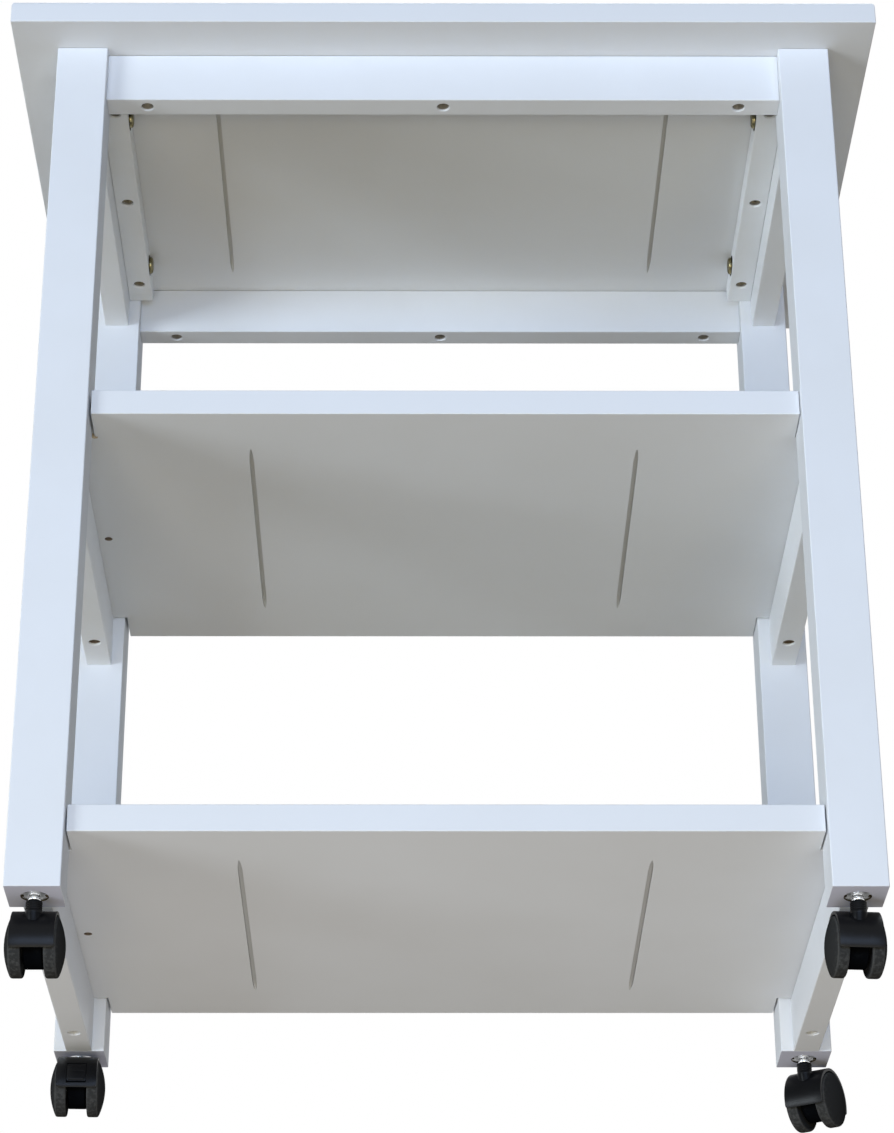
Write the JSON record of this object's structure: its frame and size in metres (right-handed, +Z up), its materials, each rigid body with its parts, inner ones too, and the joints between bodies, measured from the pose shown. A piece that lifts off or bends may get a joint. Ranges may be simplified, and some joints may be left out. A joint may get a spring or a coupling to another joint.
{
  "type": "microwave cart",
  "caption": "White wooden kitchen cart with an overhanging top and open shelves on square legs, rolling on black twin-wheel swivel casters, some with brake levers.",
  "frame": {"origin": "on the floor under the middle of the cart", "axes": "+Z up, -Y to the front that faces the user, +X to the user's right"},
  "size_m": [0.6, 0.4, 0.6943],
  "materials": {
    "white_paint": "satin white paint on board and stock",
    "black_plastic": "moulded black, half gloss",
    "wheel_plastic": "moulded black, worn",
    "bright_steel": "bright zinc-plated steel",
    "yellow_zinc": "yellow zinc-plated steel"
  },
  "bodies": {
    "cart": {"top_board": "white_paint", "middle_shelf": "white_paint", "bottom_shelf": "white_paint", "leg_front_left": "white_paint", "leg_front_right": "white_paint", "leg_back_left": "white_paint", "leg_back_right": "white_paint", "front_top_rail": "white_paint", "back_top_rail": "white_paint", "left_side_rail": "white_paint", "right_side_rail": "white_paint", "left_batten": "white_paint", "right_batten": "white_paint", "left_middle_stretcher": "white_paint", "left_bottom_stretcher": "white_paint", "right_middle_stretcher": "white_paint", "right_bottom_stretcher": "white_paint", "front_rail_screw_1": "yellow_zinc", "front_rail_screw_2": "yellow_zinc", "front_rail_screw_3": "yellow_zinc", "back_rail_screw_1": "yellow_zinc", "back_rail_screw_2": "yellow_zinc", "back_rail_screw_3": "yellow_zinc", "left_batten_screw_1": "yellow_zinc", "left_batten_screw_2": "yellow_zinc", "left_batten_screw_3": "yellow_zinc", "right_batten_screw_1": "yellow_zinc", "right_batten_screw_2": "yellow_zinc", "right_batten_screw_3": "yellow_zinc", "connector_bolt_front_left": "yellow_zinc", "connector_bolt_front_right": "yellow_zinc", "connector_bolt_back_left": "yellow_zinc", "connector_bolt_back_right": "yellow_zinc", "insert_front_left": "bright_steel", "insert_front_right": "bright_steel", "insert_back_left": "bright_steel", "insert_back_right": "bright_steel", "stem_front_left": "bright_steel", "stem_front_right": "bright_steel", "stem_back_left": "bright_steel", "stem_back_right": "bright_steel"},
    "caster_front_left": {"hood_front_left": "black_plastic", "axle_front_left": "bright_steel"},
    "wheel_front_left_left": {"wheel_front_left_left": "wheel_plastic"},
    "wheel_front_left_right": {"wheel_front_left_right": "wheel_plastic"},
    "caster_front_right": {"hood_front_right": "black_plastic", "axle_front_right": "bright_steel"},
    "wheel_front_right_left": {"wheel_front_right_left": "wheel_plastic"},
    "wheel_front_right_right": {"wheel_front_right_right": "wheel_plastic"},
    "brake_lever_front_right": {"brake_lever_front_right": "black_plastic"},
    "caster_back_left": {"hood_back_left": "black_plastic", "axle_back_left": "bright_steel"},
    "wheel_back_left_left": {"wheel_back_left_left": "wheel_plastic"},
    "wheel_back_left_right": {"wheel_back_left_right": "wheel_plastic"},
    "brake_lever_back_left": {"brake_lever_back_left": "black_plastic"},
    "caster_back_right": {"hood_back_right": "black_plastic", "axle_back_right": "bright_steel"},
    "wheel_back_right_left": {"wheel_back_right_left": "wheel_plastic"},
    "wheel_back_right_right": {"wheel_back_right_right": "wheel_plastic"}
  },
  "joints": [
    {"name": "swivel_front_left", "type": "hinge", "parent": "cart", "child": "caster_front_left", "pos_m": [-0.2525, -0.1525, 0.035], "axis": [0, 0, 1], "continuous": true},
    {"name": "spin_front_left_left", "type": "hinge", "parent": "caster_front_left", "child": "wheel_front_left_left", "pos_m": [-0.2525, -0.1365, 0.019], "axis": [1, 0, 0], "continuous": true},
    {"name": "spin_front_left_right", "type": "hinge", "parent": "caster_front_left", "child": "wheel_front_left_right", "pos_m": [-0.2525, -0.1365, 0.019], "axis": [1, 0, 0], "continuous": true},
    {"name": "swivel_front_right", "type": "hinge", "parent": "cart", "child": "caster_front_right", "pos_m": [0.2525, -0.1525, 0.035], "axis": [0, 0, 1], "continuous": true},
    {"name": "spin_front_right_left", "type": "hinge", "parent": "caster_front_right", "child": "wheel_front_right_left", "pos_m": [0.25138, -0.13654, 0.019], "axis": [0.9976, 0.0698, 0], "continuous": true},
    {"name": "spin_front_right_right", "type": "hinge", "parent": "caster_front_right", "child": "wheel_front_right_right", "pos_m": [0.25138, -0.13654, 0.019], "axis": [0.9976, 0.0698, 0], "continuous": true},
    {"name": "brake_front_right", "type": "hinge", "parent": "caster_front_right", "child": "brake_lever_front_right", "pos_m": [0.2505, -0.12393, 0.02961], "axis": [0.9976, 0.0698, 0], "range_deg": [0, 12]},
    {"name": "swivel_back_left", "type": "hinge", "parent": "cart", "child": "caster_back_left", "pos_m": [-0.2525, 0.1525, 0.035], "axis": [0, 0, 1], "continuous": true},
    {"name": "spin_back_left_left", "type": "hinge", "parent": "caster_back_left", "child": "wheel_back_left_left", "pos_m": [-0.25194, 0.13651, 0.019], "axis": [-0.9994, -0.0349, 0], "continuous": true},
    {"name": "spin_back_left_right", "type": "hinge", "parent": "caster_back_left", "child": "wheel_back_left_right", "pos_m": [-0.25194, 0.13651, 0.019], "axis": [-0.9994, -0.0349, 0], "continuous": true},
    {"name": "brake_back_left", "type": "hinge", "parent": "caster_back_left", "child": "brake_lever_back_left", "pos_m": [-0.2515, 0.12388, 0.02961], "axis": [-0.9994, -0.0349, 0], "range_deg": [0, 12]},
    {"name": "swivel_back_right", "type": "hinge", "parent": "cart", "child": "caster_back_right", "pos_m": [0.2525, 0.1525, 0.035], "axis": [0, 0, 1], "continuous": true},
    {"name": "spin_back_right_left", "type": "hinge", "parent": "caster_back_right", "child": "wheel_back_right_left", "pos_m": [0.26074, 0.16622, 0.019], "axis": [0.8572, -0.515, 0], "continuous": true},
    {"name": "spin_back_right_right", "type": "hinge", "parent": "caster_back_right", "child": "wheel_back_right_right", "pos_m": [0.26074, 0.16622, 0.019], "axis": [0.8572, -0.515, 0], "continuous": true}
  ]
}
